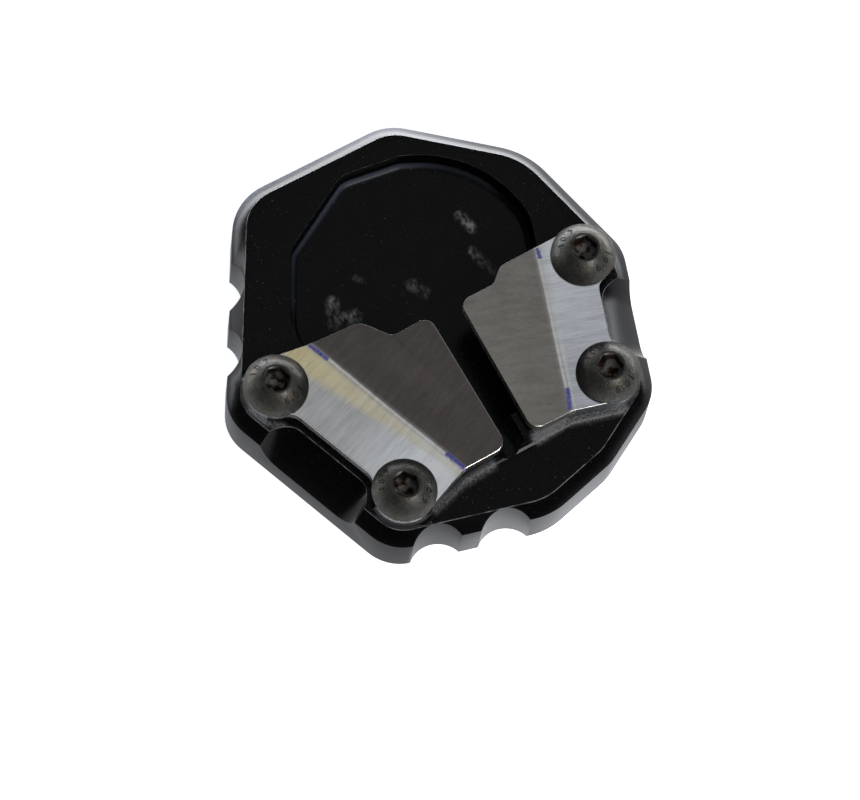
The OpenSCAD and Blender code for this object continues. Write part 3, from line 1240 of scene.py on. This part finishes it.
    def build(self) -> bpy.types.Object:
        """Sets a copy of the screw at each place and joins them.

        Returns:
            The piece.
        """
        screw = self.pattern()
        copies = []
        for (x, y), turn in zip(self.axes, self.turns):
            copy = bpy.data.objects.new("screw_copy", screw.data.copy())
            bpy.context.scene.collection.objects.link(copy)
            place = Matrix.Translation(Vector((x, y, self.seat_z)) * MM)
            copy.data.transform(place @ Matrix.Rotation(math.radians(turn), 4, "Z"))
            copies.append(copy)
        bpy.data.objects.remove(screw)
        select_only(copies[0])
        for copy in copies:
            copy.select_set(True)
        bpy.ops.object.join()
        piece = bpy.context.active_object
        piece.name = "button_screws"
        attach(piece, "root")
        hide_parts("clamp_screws")
        return piece


@dataclass(frozen=True)
class Lamp:
    """One soft square light, with its place and side in millimetres."""

    name: str
    place: Tuple[float, float, float]
    size: float
    watts: float
    colour: Colour

    def hang(self, target: Vector) -> None:
        """Hangs the light and turns it to a target.

        Args:
            target: The place that it looks at, in metres.
        """
        data = bpy.data.lights.new(self.name, "AREA")
        data.shape = "SQUARE"
        data.size = self.size * MM
        data.energy = self.watts
        data.color = self.colour
        lamp = bpy.data.objects.new(self.name, data)
        bpy.context.scene.collection.objects.link(lamp)
        lamp.location = Vector(self.place) * MM
        aim = target - lamp.location
        lamp.rotation_euler = aim.to_track_quat("-Z", "Y").to_euler()


@dataclass
class Studio:
    """Floor, lights and camera."""

    floor_size: float = 4000.0
    floor_drop: float = 0.05
    lamps: Tuple[Lamp, ...] = (
        Lamp("key", (140.0, -560.0, 640.0), 260.0, 3.2, (1.0, 0.985, 0.96)),
        Lamp("overhead", (200.0, 228.0, 800.0), 620.0, 0.5, (0.95, 0.975, 1.0)),
        Lamp("side", (760.0, 60.0, 190.0), 260.0, 0.1, (0.86, 0.93, 1.0)),
    )
    lit_height: float = 15.0
    sky: Colour = (0.86, 0.92, 1.0)
    sky_strength: float = 0.07
    camera_back: Tuple[float, float, float] = (-0.2318, -0.2733, 0.9336)
    camera_right: Tuple[float, float, float] = (0.8662, -0.4947, 0.0702)
    camera_aim: Tuple[float, float, float] = (-7.845, -9.358, 0.0)
    camera_away: float = 1288.9
    focal_pixels: float = 6000.0
    image_width: float = 860.0
    sensor: float = 36.0

    def build(self) -> None:
        """Builds the floor, the lights and the camera."""
        self.lay_floor()
        for lamp in self.lamps:
            lamp.hang(Vector((0.0, 0.0, self.lit_height * MM)))
        self.surround()
        self.place_camera()

    def lay_floor(self) -> None:
        """Lays the floor."""
        bpy.ops.object.select_all(action="DESELECT")
        below = (0, 0, -self.floor_drop * MM)
        bpy.ops.mesh.primitive_plane_add(size=self.floor_size * MM, location=below)
        floor = bpy.context.active_object
        floor.name = "studio_floor"
        bpy.ops.object.transform_apply(location=True, rotation=True, scale=True)
        floor.data.materials.append(PaleFloor().make())

    def surround(self) -> None:
        """Sets the soft light from all round."""
        world = bpy.data.worlds.new("soft_surround")
        world.use_nodes = True
        background = world.node_tree.nodes["Background"]
        background.inputs["Color"].default_value = (*self.sky, 1.0)
        background.inputs["Strength"].default_value = self.sky_strength
        bpy.context.scene.world = world
        bpy.context.scene.view_settings.view_transform = "Standard"

    def place_camera(self) -> None:
        """Places the camera where the photograph was taken from."""
        back = Vector(self.camera_back).normalized()
        right = Vector(self.camera_right)
        right = (right - back * right.dot(back)).normalized()
        above = back.cross(right)
        data = bpy.data.cameras.new("photo_camera")
        data.sensor_fit = "HORIZONTAL"
        data.sensor_width = self.sensor
        data.lens = self.sensor * self.focal_pixels / self.image_width
        data.clip_start = 0.05
        data.clip_end = 20.0
        camera = bpy.data.objects.new("photo_camera", data)
        bpy.context.scene.collection.objects.link(camera)
        turn = Matrix((right, above, back)).transposed().to_4x4()
        place = (Vector(self.camera_aim) + back * self.camera_away) * MM
        camera.matrix_world = Matrix.Translation(place) @ turn
        bpy.context.scene.camera = camera


def main() -> None:
    """Builds the part, then the studio round it."""
    logging.basicConfig(level=logging.INFO, format="%(message)s")
    for group in (Base(), ClampPlate(Side.LEFT), ClampPlate(Side.RIGHT), ButtonScrews()):
        piece = group.build()
        LOG.info("built %s with %d faces", piece.name, len(piece.data.polygons))
    Studio().build()


if __name__ == "__main__":
    main()
